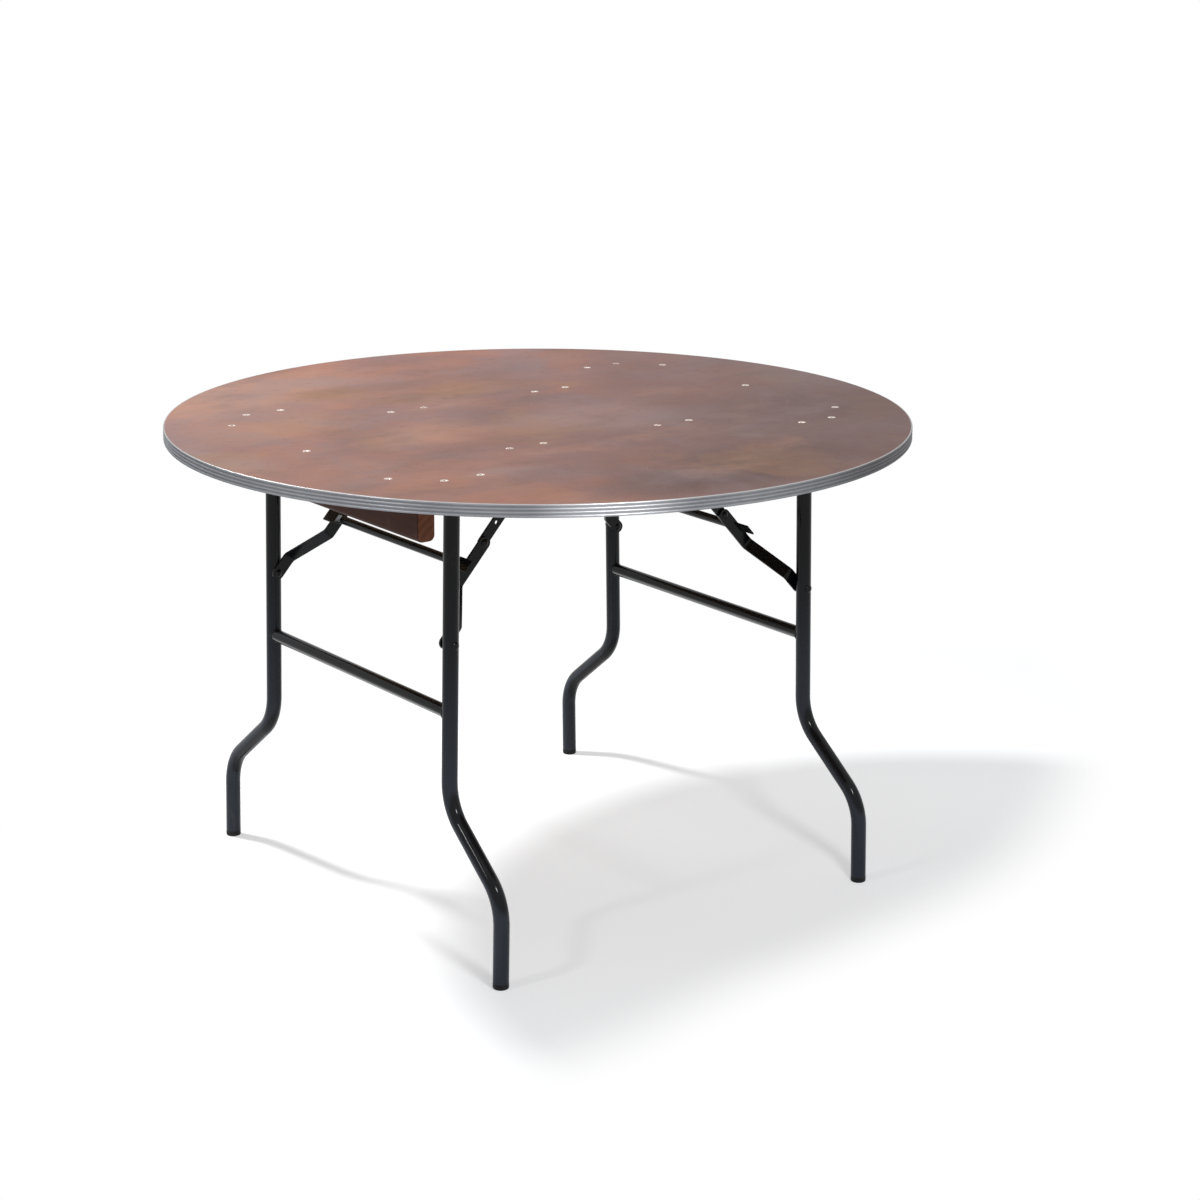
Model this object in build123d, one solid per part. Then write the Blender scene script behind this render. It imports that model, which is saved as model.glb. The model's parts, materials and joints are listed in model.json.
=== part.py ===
from build123d import *
from math import acos, atan2, cos, degrees, hypot, radians, sin, sqrt
import os

# Round folding banquet table: a plywood top with an aluminium edge band stands on two folding leg frames.
# Millimetres. +Z is up, and the origin is on the floor under the middle of the top.
# The two leg frames stand at -X (left) and +X (right). Near is -Y and far is +Y.
# Each side is built once for +X and +Y, and mirrored to its other places.

# Table top
table_height = 765.0
table_diameter = 1220.0
board_thickness = 18.0

# Edge band: a reeded aluminium strip, flush with the top of the board and held by a tongue in its edge
band_drop = 2.0
band_wall = 2.4
band_groove_width = 1.6
band_groove_depth = 1.0
band_rib_count = 4
band_tongue_length = 8.0
band_tongue_thickness = 2.0

# Runners: two wooden beams that protect the folded frames. The first clearance is from a packer block's
# end to the runner, and the second from the runner's outer corner to the band.
runner_clearance = 34.5
runner_end_clearance = 65.3
runner_width = 30.0
runner_depth = 58.0
runner_edge_radius = 4.0
runner_screw_spacing = 232.0
runner_screw_length = 45.0
runner_screw_diameter = 5.0

# Fasteners that come through the top
head_diameter = 13.0
head_thickness = 2.0
bolt_diameter = 6.0
washer_diameter = 12.0
washer_thickness = 1.2
nut_across_flats = 10.0
nut_height = 5.0
bolt_end_length = 2.0
bolt_spacing = 65.0

# Leg frames. The pivots lie in from the rim of the table, and the right one lies lower than the left one,
# so that the right frame folds over the left frame.
pivot_inset = 260.0
pivot_clearance = 2.5
nest_clearance = 2.0
leg_half_spacing = 262.0
foot_half_spacing = 403.0
upper_kink_height = 246.0
lower_kink_height = 136.0
leg_bend_radius = 80.0
leg_tilt = 1.0
tube_diameter = 25.0
tube_wall = 1.5
cross_bar_rise = 147.0
cross_bar_diameter = 21.0
cap_thickness = 2.5
cap_stem_length = 15.0
cap_edge_radius = 1.2
glide_thickness = 9.0
glide_stem_length = 22.0
glide_edge_radius = 2.5

# Saddles that hold the pivot tubes, just outside the legs
saddle_leg_gap = 4.0
saddle_width = 25.0
strap_thickness = 3.0
strap_end_margin = 8.0
strap_bend_radius = 3.0
tube_end_overhang = 1.5

# Braces, anchored in from the pivots
anchor_setback = 203.5
bracket_row = 170.0
bracket_width = 24.0
bracket_ear_width = 40.0
bracket_ear_radius = 11.0
bracket_corner_radius = 5.0
block_margin = 3.0
block_edge_radius = 1.5
leg_arm = 231.0
link_thickness = 4.0
upper_link_width = 18.0
lower_link_width = 21.0
link_flat_length = 32.0
link_joggle_length = 62.0
link_bend_radius = 9.0
link_hole_diameter = 6.0
link_hole_offset = 38.0
rivet_diameter = 8.0
rivet_head_diameter = 14.0
rivet_head_height = 3.4

# Release bar: a tube pressed flat at both ends, welded on the edges of the two lower links
bar_station = 121.0
bar_diameter = 14.0
bar_wall = 1.2
bar_tab_width = 22.0
bar_tab_thickness = 3.0
bar_tab_overhang = 17.0
bar_round_margin = 4.0
bar_taper_length = 18.0

# Clearances
fit_gap = 0.05
seat_gap = 0.05
slide_gap = 0.3
head_gap = 0.2
overrun = 5.0

# Heights and radii that follow from these
underside = table_height - board_thickness
band_bottom = underside - band_drop
table_radius = table_diameter / 2
band_wall_radius = table_radius - band_wall
band_tongue_radius = band_wall_radius - band_tongue_length
tongue_bottom = underside + (board_thickness - band_tongue_thickness) / 2
tongue_top = tongue_bottom + band_tongue_thickness
head_seat = table_height - head_thickness
screw_end = table_height - runner_screw_length
tube_radius = tube_diameter / 2
tube_bore_radius = tube_radius - tube_wall
pivot_depth = tube_radius + pivot_clearance
nest_step = tube_diameter + nest_clearance
left_pivot_height = underside - pivot_depth
right_pivot_height = left_pivot_height - nest_step
cross_bar_height = upper_kink_height + cross_bar_rise
saddle_radius = tube_radius + fit_gap

# Places under the top that follow from these
strap_half_length = bolt_spacing / 2 + strap_end_margin
pivot_half_spacing = table_radius - pivot_inset
anchor_half_spacing = pivot_half_spacing - anchor_setback
runner_inner = pivot_half_spacing + strap_half_length + block_margin + runner_clearance
runner_outer = runner_inner + runner_width
runner_half_spacing = runner_inner + runner_width / 2
runner_length = 2 * (sqrt(band_wall_radius**2 - runner_outer**2) - runner_end_clearance)
leg_inner = leg_half_spacing - tube_radius
leg_outer = leg_half_spacing + tube_radius
saddle_row = leg_outer + saddle_leg_gap + saddle_width / 2
ear_outer = bracket_row + bracket_width / 2

# Planes of the links, measured outwards from the middle of the table
upper_link_inner = ear_outer + slide_gap
lower_link_inner = upper_link_inner + link_thickness + slide_gap
lower_link_end_inner = leg_inner - slide_gap - link_thickness

# Brace geometry on the +X side, with heights counted from the pivot. The lower rivet is on the leg.
# The link lengths make the brace straight when the leg is down and flat when the leg is folded.
tilt = radians(leg_tilt)
rivet_x = pivot_half_spacing + leg_arm * sin(tilt)
rivet_z = -leg_arm * cos(tilt)
brace_span = hypot(rivet_x - anchor_half_spacing, rivet_z)
folded_rivet_x = pivot_half_spacing - leg_arm
folded_gap = anchor_half_spacing - folded_rivet_x
lower_link_length = (brace_span + folded_gap) / 2
upper_link_length = (brace_span - folded_gap) / 2

# Frame of the brace: x runs up the brace from the lower rivet, y points outwards, z is along a hinge
along_brace = Vector(anchor_half_spacing - rivet_x, 0, -rivet_z)
brace_plane = Plane(origin=(rivet_x, 0, rivet_z), x_dir=along_brace, z_dir=(0, 1, 0))


def rod(radius, x, y_from, y_to, z):
    """A round bar along Y."""
    bar_axis = Plane(origin=(x, y_from, z), z_dir=(0, 1, 0))
    return extrude(bar_axis * Circle(radius), y_to - y_from)


def pin(radius, x, y, z_from, z_to):
    """A round bar along Z."""
    return Pos(x, y, z_from) * extrude(Circle(radius), z_to - z_from)


def domed_head(radius, height):
    """A domed rivet head on the XY plane: one circular arc spun about Z."""
    rim_angle = 2 * atan2(height, radius)
    ball_radius = radius / sin(rim_angle)
    shoulder_drop = ball_radius * (1 - cos(rim_angle / 2))
    shoulder = (ball_radius * sin(rim_angle / 2), 0, height - shoulder_drop)
    outline = [
        ThreePointArc((radius, 0, 0), shoulder, (0, 0, height)),
        Line((0, 0, height), (0, 0, 0)),
        Line((0, 0, 0), (radius, 0, 0)),
    ]
    return revolve(make_face(outline), Axis.Z)


def rivet(x, z, y_from, y_to, inner_head, outer_head):
    """A rivet along Y, with a domed head at either end or at both."""
    body = rod(rivet_diameter / 2, x, y_from, y_to, z)
    head = domed_head(rivet_head_diameter / 2, rivet_head_height)
    if inner_head:
        body += Plane(origin=(x, y_from, z), x_dir=(1, 0, 0), z_dir=(0, -1, 0)) * head
    if outer_head:
        body += Plane(origin=(x, y_to, z), x_dir=(1, 0, 0), z_dir=(0, 1, 0)) * head
    return body


def rounded_block(x_size, y_size, z_size, radius):
    """A block centred on Z with its top on the XY plane, and every edge but the top ones rounded."""
    block = Pos(0, 0, -z_size / 2) * Box(x_size, y_size, z_size)
    top = block.faces().sort_by(Axis.Z)[-1]
    return fillet(block.edges() - top.edges(), radius)


def bolt_places(x_middle, row):
    """The four near and far places of a pair of bolts about x_middle, on both rows."""
    places = []
    for y in (-row, row):
        for x in (x_middle - bolt_spacing / 2, x_middle + bolt_spacing / 2):
            places.append((x, y))
    return places


def screw_places():
    """The six places of the runner screws."""
    places = []
    for x in (-runner_half_spacing, runner_half_spacing):
        for y in (-runner_screw_spacing, 0, runner_screw_spacing):
            places.append((x, y))
    return places


saddle_places = {
    "left": bolt_places(-pivot_half_spacing, saddle_row),
    "right": bolt_places(pivot_half_spacing, saddle_row),
}
bracket_places = {
    "left": bolt_places(-anchor_half_spacing, bracket_row),
    "right": bolt_places(anchor_half_spacing, bracket_row),
}
seat_heights = {"left": underside, "right": underside - nest_step}


def table_top_board():
    """The plywood disc, grooved round its edge, with a counterbored hole for every bolt and screw."""
    board_radius = band_wall_radius - seat_gap
    board = pin(board_radius, 0, 0, underside, table_height)
    groove = pin(table_radius, 0, 0, tongue_bottom - seat_gap, tongue_top + seat_gap)
    groove -= pin(band_tongue_radius - seat_gap, 0, 0, underside, table_height)
    holes = [(place, runner_screw_diameter) for place in screw_places()]
    for side_places in (*saddle_places.values(), *bracket_places.values()):
        holes += [(place, bolt_diameter) for place in side_places]
    cuts = [groove]
    for (x, y), diameter in holes:
        cuts.append(pin(diameter / 2 + seat_gap, x, y, underside - overrun, table_height + overrun))
        cuts.append(pin(head_diameter / 2 + seat_gap, x, y, head_seat, table_height + overrun))
    return board - cuts


def edge_band():
    """The aluminium strip: rounded ribs between flat grooves outside, and a tongue inside."""
    all_ribs = table_height - band_bottom - (band_rib_count - 1) * band_groove_width
    rib_height = all_ribs / band_rib_count
    groove_radius = table_radius - band_groove_depth
    outline = []
    for rib in range(band_rib_count):
        low = band_bottom + rib * (rib_height + band_groove_width)
        high = low + rib_height
        crest = (table_radius, 0, (low + high) / 2)
        outline.append(ThreePointArc((groove_radius, 0, low), crest, (groove_radius, 0, high)))
        if rib < band_rib_count - 1:
            outline.append(Line((groove_radius, 0, high), (groove_radius, 0, high + band_groove_width)))
    outline.append(
        Polyline(
            (groove_radius, 0, table_height),
            (band_wall_radius, 0, table_height),
            (band_wall_radius, 0, tongue_top),
            (band_tongue_radius, 0, tongue_top),
            (band_tongue_radius, 0, tongue_bottom),
            (band_wall_radius, 0, tongue_bottom),
            (band_wall_radius, 0, band_bottom),
            (groove_radius, 0, band_bottom),
        )
    )
    return revolve(make_face(outline), Axis.Z)


def runner():
    """The +X wooden beam, with a pilot hole for each screw."""
    beam = rounded_block(runner_width, runner_length, runner_depth, runner_edge_radius)
    beam = Pos(runner_half_spacing, 0, underside) * beam
    pilot_radius = runner_screw_diameter / 2 + seat_gap
    for y in (-runner_screw_spacing, 0, runner_screw_spacing):
        beam -= pin(pilot_radius, runner_half_spacing, y, screw_end, underside + overrun)
    return beam


def runner_screw(x, y):
    """A flat-headed screw from the top into a runner, with a cone for its point."""
    shank_end = screw_end + runner_screw_diameter
    screw = pin(head_diameter / 2, x, y, head_seat, table_height)
    screw += pin(runner_screw_diameter / 2, x, y, shank_end, head_seat)
    point = Cone(0, runner_screw_diameter / 2, runner_screw_diameter)
    return screw + Pos(x, y, shank_end - runner_screw_diameter / 2) * point


def bolt(x, y, seat):
    """A flat-headed bolt from the top, through a strap at the seat height, its washer and its nut."""
    end = seat - strap_thickness - washer_thickness - nut_height - bolt_end_length
    body = pin(head_diameter / 2, x, y, head_seat, table_height)
    return body + pin(bolt_diameter / 2, x, y, end, head_seat)


def washer(x, y, seat):
    """A flat washer under a strap."""
    high = seat - strap_thickness
    low = high - washer_thickness
    disc = pin(washer_diameter / 2, x, y, low, high)
    return disc - pin(bolt_diameter / 2 + seat_gap, x, y, low - overrun, high + overrun)


def nut(x, y, seat):
    """A plain hexagon nut under a washer."""
    high = seat - strap_thickness - washer_thickness
    low = high - nut_height
    flats = RegularPolygon(nut_across_flats / 2, 6, major_radius=False)
    hexagon = Pos(x, y, low) * extrude(flats, nut_height)
    return hexagon - pin(bolt_diameter / 2 + seat_gap, x, y, low - overrun, high + overrun)


def fastener_group(make, places):
    """One separate solid for each place, on both sides of the table."""
    group = []
    for side in ("left", "right"):
        for x, y in places[side]:
            group.append(make(x, y, seat_heights[side]))
    return Compound(children=group)


def strap_holes(top, thickness, x_middle, row):
    """The two bolt holes of a saddle, bracket or packer block, down from the height of its upper face."""
    low = top - thickness - overrun
    holes = []
    for x in (x_middle - bolt_spacing / 2, x_middle + bolt_spacing / 2):
        holes.append(pin(bolt_diameter / 2 + seat_gap, x, row, low, top + overrun))
    return holes


def saddle():
    """The +X far strap, over the pivot at height zero: two flat feet and a round arch under the tube."""
    arch_radius = saddle_radius + strap_thickness
    far_edge = (pivot_half_spacing, saddle_row + saddle_width / 2, 0)
    section_plane = Plane(origin=far_edge, x_dir=(1, 0, 0), z_dir=(0, -1, 0))
    feet = Pos(0, pivot_depth - strap_thickness / 2) * Rectangle(2 * strap_half_length, strap_thickness)
    outside = Circle(arch_radius) + Pos(0, pivot_depth / 2) * Rectangle(2 * arch_radius, pivot_depth)
    inside = Circle(saddle_radius) + Pos(0, pivot_depth / 2 + overrun / 2) * Rectangle(
        2 * saddle_radius, pivot_depth + overrun
    )
    strap = extrude(section_plane * (feet + outside - inside), saddle_width)
    foot_edge = pivot_depth - strap_thickness
    inner_corners = [
        edge
        for edge in strap.edges().filter_by(Axis.Y)
        if abs(abs(edge.center().X - pivot_half_spacing) - arch_radius) < fit_gap
        and abs(edge.center().Z - foot_edge) < fit_gap
    ]
    holes = strap_holes(pivot_depth, strap_thickness, pivot_half_spacing, saddle_row)
    return fillet(inner_corners, strap_bend_radius) - holes


def bracket():
    """The +X far anchor bracket, over its rivet at height zero: a flat foot and one round-nosed ear."""
    foot = Pos(0, 0, -strap_thickness / 2) * Box(2 * strap_half_length, bracket_width, strap_thickness)
    foot = fillet(foot.edges().filter_by(Axis.Z), bracket_corner_radius)
    ear_plane = Plane(origin=(anchor_half_spacing, ear_outer, 0), x_dir=(1, 0, 0), z_dir=(0, -1, 0))
    nose = Circle(bracket_ear_radius)
    flare = Polyline(
        (-bracket_ear_width / 2, pivot_depth),
        (-bracket_ear_radius, 0),
        (bracket_ear_radius, 0),
        (bracket_ear_width / 2, pivot_depth),
        close=True,
    )
    ear = extrude(ear_plane * (nose + make_face(flare)), strap_thickness)
    plate = Pos(anchor_half_spacing, bracket_row, pivot_depth) * foot + ear
    plate -= rod(rivet_diameter / 2 + seat_gap, anchor_half_spacing, bracket_row, ear_outer + overrun, 0)
    return plate - strap_holes(pivot_depth, strap_thickness, anchor_half_spacing, bracket_row)


def packer_block(x_middle, row, width):
    """The +X far wooden packer that drops a saddle or a bracket below the top, onto its underside."""
    length = 2 * (strap_half_length + block_margin)
    block = Pos(x_middle, row, underside) * rounded_block(length, width, nest_step, block_edge_radius)
    return block - strap_holes(underside, nest_step, x_middle, row)


def pivot_tube():
    """The hinge tube of a frame, across both saddles."""
    end = saddle_row + saddle_width / 2 + tube_end_overhang
    tube = rod(tube_radius, pivot_half_spacing, -end, end, 0)
    return tube - rod(tube_bore_radius, pivot_half_spacing, -end - overrun, end + overrun, 0)


def pivot_cap():
    """The far plastic plug in the end of the pivot tube."""
    tube_end = saddle_row + saddle_width / 2 + tube_end_overhang
    disc = rod(tube_radius, pivot_half_spacing, tube_end, tube_end + cap_thickness, 0)
    rim = disc.edges().sort_by(Axis.Y)[-1]
    disc = fillet(rim, cap_edge_radius)
    stem = rod(tube_bore_radius - seat_gap, pivot_half_spacing, tube_end - cap_stem_length, tube_end, 0)
    return disc + stem


def tilted(piece):
    """Leans a +X frame piece out about the pivot, so that the foot stands wider than the hinge."""
    return piece.rotate(Axis((pivot_half_spacing, 0, 0), (0, 1, 0)), -leg_tilt)


def leg(pivot_height):
    """The far leg, with the pivot at height zero: a bent tube, coped to the pivot tube and drilled."""
    foot_end = pivot_height / cos(tilt) - glide_thickness
    line = FilletPolyline(
        (pivot_half_spacing, leg_half_spacing, 0),
        (pivot_half_spacing, leg_half_spacing, upper_kink_height - pivot_height),
        (pivot_half_spacing, foot_half_spacing, lower_kink_height - pivot_height),
        (pivot_half_spacing, foot_half_spacing, -foot_end),
        radius=leg_bend_radius,
    )
    start = Plane(origin=(pivot_half_spacing, leg_half_spacing, 0), z_dir=(0, 0, -1))
    tube = sweep(start * (Circle(tube_radius) - Circle(tube_bore_radius)), path=line)
    tube -= rod(tube_radius, pivot_half_spacing, 0, saddle_row, 0)
    hole_radius = rivet_diameter / 2 + seat_gap
    tube -= rod(hole_radius, pivot_half_spacing, leg_inner - overrun, leg_outer + overrun, -leg_arm)
    return tilted(tube)


def cross_bar(pivot_height):
    """The tube between the two legs of a frame, coped to both."""
    height = cross_bar_height - pivot_height
    bore_radius = cross_bar_diameter / 2 - tube_wall
    bar = rod(cross_bar_diameter / 2, pivot_half_spacing, -leg_half_spacing, leg_half_spacing, height)
    bar -= rod(bore_radius, pivot_half_spacing, -leg_half_spacing, leg_half_spacing, height)
    for row in (-leg_half_spacing, leg_half_spacing):
        bar -= pin(tube_radius, pivot_half_spacing, row, height - tube_diameter, height + tube_diameter)
    return tilted(bar)


def glide(pivot_height):
    """The far plastic foot: a plug in the leg and a rounded flange, cut level with the floor."""
    floor_end = pivot_height / cos(tilt)
    flange_end = floor_end + tube_radius * sin(tilt)
    tube_end = floor_end - glide_thickness
    flange = pin(tube_radius, pivot_half_spacing, foot_half_spacing, -flange_end, -tube_end)
    rim = flange.edges().sort_by(Axis.Z)[0]
    flange = fillet(rim, glide_edge_radius)
    stem_radius = tube_bore_radius - seat_gap
    stem_top = glide_stem_length - tube_end
    stem = pin(stem_radius, pivot_half_spacing, foot_half_spacing, -tube_end, stem_top)
    foot = tilted(flange + stem)
    below_floor = Pos(pivot_half_spacing, foot_half_spacing, -pivot_height - tube_diameter / 2)
    return foot - below_floor * Box(2 * tube_diameter + overrun, 2 * tube_diameter, tube_diameter)


def leg_rivet():
    """The far rivet through the leg, headed outside and flush inside, where the lower link runs."""
    return tilted(rivet(pivot_half_spacing, -leg_arm, leg_inner, leg_outer, False, True))


def link_outline(start, end, width):
    """A flat bar outline from one eye to the other, with round ends."""
    middle = (start + end) / 2
    return Pos(middle, 0) * SlotCenterToCenter(end - start, width)


def upper_link():
    """The far flat link from the anchor to the middle joint, with a small hole beside that joint."""
    bar = extrude(link_outline(lower_link_length, brace_span, upper_link_width), link_thickness)
    for station in (lower_link_length, brace_span):
        bar -= pin(rivet_diameter / 2 + fit_gap, station, 0, -overrun, link_thickness + overrun)
    hole_station = lower_link_length + link_hole_offset
    bar -= pin(link_hole_diameter / 2, hole_station, 0, -overrun, link_thickness + overrun)
    return brace_plane * Pos(0, 0, upper_link_inner) * bar


def lower_link():
    """The far joggled link from the leg rivet to the middle joint: flat on the leg, then stepped in."""
    end_layer = lower_link_end_inner + link_thickness / 2
    main_layer = lower_link_inner + link_thickness / 2
    middle_line = FilletPolyline(
        (-lower_link_width, end_layer),
        (link_flat_length, end_layer),
        (link_flat_length + link_joggle_length, main_layer),
        (lower_link_length + lower_link_width, main_layer),
        radius=link_bend_radius,
    )
    side_plane = Plane(origin=(0, lower_link_width, 0), x_dir=(1, 0, 0), z_dir=(0, -1, 0))
    side_shape = extrude(side_plane * trace(middle_line, link_thickness), 2 * lower_link_width)
    outline = link_outline(0, lower_link_length, lower_link_width)
    face_start = Pos(0, 0, lower_link_inner - overrun)
    face_shape = face_start * extrude(outline, leg_half_spacing - lower_link_inner)
    bar = side_shape & face_shape
    hole_radius = rivet_diameter / 2 + seat_gap
    for station in (0, lower_link_length):
        bar -= pin(hole_radius, station, 0, lower_link_inner - overrun, leg_half_spacing)
    return brace_plane * bar


def anchor_rivet():
    """The far rivet through the bracket ear and the upper link."""
    inner = ear_outer - strap_thickness
    outer = upper_link_inner + link_thickness + head_gap
    return rivet(anchor_half_spacing, 0, inner, outer, True, True)


def middle_rivet():
    """The far rivet of the middle joint: tight in the lower link, and running in the upper link."""
    middle = brace_plane.origin + brace_plane.x_dir * lower_link_length
    inner = upper_link_inner - head_gap
    outer = lower_link_inner + link_thickness
    return rivet(middle.X, middle.Z, inner, outer, True, True)


def lower_rivet():
    """The far rivet end in the foot of the lower link, facing the flush end of the leg's rivet."""
    outer = lower_link_end_inner + link_thickness
    return rivet(rivet_x, rivet_z, lower_link_end_inner, outer, True, False)


def release_bar():
    """The tube across the lower links: round in the middle, pressed flat over the links at both ends."""
    round_radius = bar_diameter / 2
    tab_middle = lower_link_width / 2 + bar_tab_thickness / 2
    round_end = upper_link_inner - rivet_head_height - bar_round_margin - bar_taper_length
    tab_start = round_end + bar_taper_length
    tab_end = lower_link_inner + link_thickness + bar_tab_overhang
    half = pin(round_radius, bar_station, tab_middle, 0, round_end)
    round_face = Pos(bar_station, tab_middle, round_end) * Circle(round_radius)
    tab_shape = SlotOverall(bar_tab_width, bar_tab_thickness)
    tab_face = Pos(bar_station, tab_middle, tab_start) * tab_shape
    half += loft([round_face, tab_face])
    half += extrude(tab_face, tab_end - tab_start)
    half -= pin(round_radius - bar_wall, bar_station, tab_middle, -overrun, round_end)
    whole = half + mirror(half, about=Plane.XY)
    return brace_plane * whole


def on_side(piece, side, pivot_height):
    """Puts a +X piece, made with its pivot at height zero, at its height on the left or right side."""
    raised = Pos(0, 0, pivot_height) * piece
    return raised if side == "right" else mirror(raised, about=Plane.YZ)


def on_row(piece, row):
    """Leaves a far piece where it is, or mirrors it to the near row."""
    return piece if row == "far" else mirror(piece, about=Plane.XZ)


def both_rows(piece):
    """A far piece and its near mirror image, as two separate solids."""
    return Compound(children=[on_row(piece, "near"), on_row(piece, "far")])


def build():
    """Makes every node of the table, by name."""
    nodes = {"table_top_board": table_top_board(), "edge_band": edge_band()}
    nodes["right_runner"] = runner()
    nodes["left_runner"] = mirror(nodes["right_runner"], about=Plane.YZ)
    nodes["runner_screws"] = Compound(children=[runner_screw(x, y) for x, y in screw_places()])
    for family, places in (("saddle", saddle_places), ("bracket", bracket_places)):
        nodes[family + "_bolts"] = fastener_group(bolt, places)
        nodes[family + "_washers"] = fastener_group(washer, places)
        nodes[family + "_nuts"] = fastener_group(nut, places)

    packers = {
        "saddle_packer": packer_block(pivot_half_spacing, saddle_row, saddle_width + 2 * block_margin),
        "bracket_packer": packer_block(anchor_half_spacing, bracket_row, bracket_width),
    }
    row_pieces = {
        "saddle": saddle(),
        "brace_bracket": bracket(),
        "upper_link": upper_link(),
        "lower_link": lower_link(),
    }
    pair_pieces = {
        "pivot_caps": pivot_cap(),
        "leg_rivets": leg_rivet(),
        "anchor_rivets": anchor_rivet(),
        "middle_rivets": middle_rivet(),
        "lower_rivets": lower_rivet(),
    }
    hinge = pivot_tube()
    bar = release_bar()
    for side, pivot_height in (("left", left_pivot_height), ("right", right_pivot_height)):
        nodes[side + "_pivot_tube"] = on_side(hinge, side, pivot_height)
        nodes[side + "_release_bar"] = on_side(bar, side, pivot_height)
        nodes[side + "_cross_bar"] = on_side(cross_bar(pivot_height), side, pivot_height)
        for name, piece in pair_pieces.items():
            nodes[side + "_" + name] = on_side(both_rows(piece), side, pivot_height)
        frame_pieces = dict(row_pieces)
        frame_pieces["leg"] = leg(pivot_height)
        frame_pieces["glide"] = glide(pivot_height)
        for row in ("near", "far"):
            for name, piece in frame_pieces.items():
                nodes[f"{side}_{row}_{name}"] = on_side(on_row(piece, row), side, pivot_height)
    for row in ("near", "far"):
        for name, piece in packers.items():
            nodes[f"right_{row}_{name}"] = on_row(piece, row)
    return nodes


os.makedirs("parts", exist_ok=True)
for node_name, node_shape in build().items():
    export_step(node_shape, f"parts/{node_name}.step")

folded_turn = degrees(acos(-along_brace.X / brace_span))
print(f"links {lower_link_length:.3f} and {upper_link_length:.3f}, upper turns {folded_turn:.4f} degrees")
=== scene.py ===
"""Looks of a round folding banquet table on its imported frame. Lengths are in metres."""
import json
import math

import bmesh
import bpy
import numpy as np
from mathutils import Euler, Matrix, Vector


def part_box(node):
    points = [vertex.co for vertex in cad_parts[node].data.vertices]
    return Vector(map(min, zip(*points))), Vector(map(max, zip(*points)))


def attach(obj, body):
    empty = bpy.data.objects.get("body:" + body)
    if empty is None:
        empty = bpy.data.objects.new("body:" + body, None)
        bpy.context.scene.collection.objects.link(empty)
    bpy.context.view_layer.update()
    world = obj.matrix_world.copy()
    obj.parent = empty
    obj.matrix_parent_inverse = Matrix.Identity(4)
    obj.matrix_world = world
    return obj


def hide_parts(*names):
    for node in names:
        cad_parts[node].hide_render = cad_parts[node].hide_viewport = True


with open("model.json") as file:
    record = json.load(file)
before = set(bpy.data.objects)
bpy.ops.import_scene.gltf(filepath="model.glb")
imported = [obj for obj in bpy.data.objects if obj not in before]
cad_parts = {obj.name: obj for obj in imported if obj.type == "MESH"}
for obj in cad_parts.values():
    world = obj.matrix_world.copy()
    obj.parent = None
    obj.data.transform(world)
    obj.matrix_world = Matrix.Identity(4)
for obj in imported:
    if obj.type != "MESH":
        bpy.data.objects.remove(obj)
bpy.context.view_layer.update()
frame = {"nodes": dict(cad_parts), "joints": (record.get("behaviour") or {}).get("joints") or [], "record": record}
nodes = frame["nodes"]
pivots = {joint["name"]: joint["pos_m"] for joint in frame["joints"]}


def middle(node):
    """The middle of a node's box."""
    low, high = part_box(node)
    return [(a + b) / 2 for a, b in zip(low, high)]


# Left is -X and right is +X, near is -Y and far is +Y
SIDES = ("left", "right")
ROWS = ("near", "far")
MIRRORS = {"left": -1.0, "right": 1.0, "near": -1.0, "far": 1.0}

# Places that the frame gives. A seat is what a side's saddles and brackets are bolted up against.
BOARD_UNDER, BOARD_TOP = (corner[2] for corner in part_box("table_top_board"))
PIVOT_X = pivots["right_leg_fold"][0]
PIVOT_HEIGHT = {side: pivots[side + "_leg_fold"][2] for side in SIDES}
SEAT_HEIGHT = {side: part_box(side + "_far_saddle")[1][2] for side in SIDES}
SADDLE_ROW = middle("right_far_saddle")[1]
ANCHOR_X = pivots["right_upper_link_turn"][0]
BRACKET_ROW = middle("right_far_brace_bracket")[1]
RUNNER_X = middle("right_runner")[0]
SCREW_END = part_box("runner_screws")[0][2]
LINK_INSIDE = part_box("right_far_lower_link")[0][1]

# Sizes of the frames and braces. LEG_ARM is the lower rivet's distance from the hinge, and BAR_STATION
# the release bar's distance from that rivet along the brace.
RIM_RADIUS = 0.610
TUBE_RADIUS = 0.0125
CROSS_BAR_RADIUS = 0.0105
CROSS_BAR_HEIGHT = 0.393
LEG_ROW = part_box("right_far_leg")[0][1] + TUBE_RADIUS
LEG_LEAN = math.radians(1.0)
LEG_ARM = 0.231
LINK_THICKNESS = 0.004
LINK_HALF_WIDTH = 0.0105
BAR_STATION = 0.121
BAR_END_HALF = 0.0085
FRAME_BEAD = 0.0015
BRACE_BEAD = 0.0013
LINK_EASE = 0.0005
STRAP_EASE = 0.0004

# Sizes of the fasteners. A strap and a washer lie between a seat and its nut.
HEAD_RADIUS = 0.0065
HEAD_HEIGHT = 0.0020
BOLT_RADIUS = 0.003
SCREW_RADIUS = 0.0025
SCREW_STEP = 0.232
THREAD_PITCH = 0.001
THREAD_DEPTH = 0.0003
THREAD_LENGTH = 0.0090
NUT_BORE = 0.00305
NUT_HALF_WIDTH = 0.005
NUT_HEIGHT = 0.005
BOLT_HALF_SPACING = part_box("saddle_bolts")[1][0] - HEAD_RADIUS - PIVOT_X
BOLT_REACH = SEAT_HEIGHT["right"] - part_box("saddle_bolts")[0][2]
NUT_DEPTH = SEAT_HEIGHT["left"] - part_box("saddle_nuts")[1][2]

WHITE = (1.0, 1.0, 1.0, 1.0)


# Shader values

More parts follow.
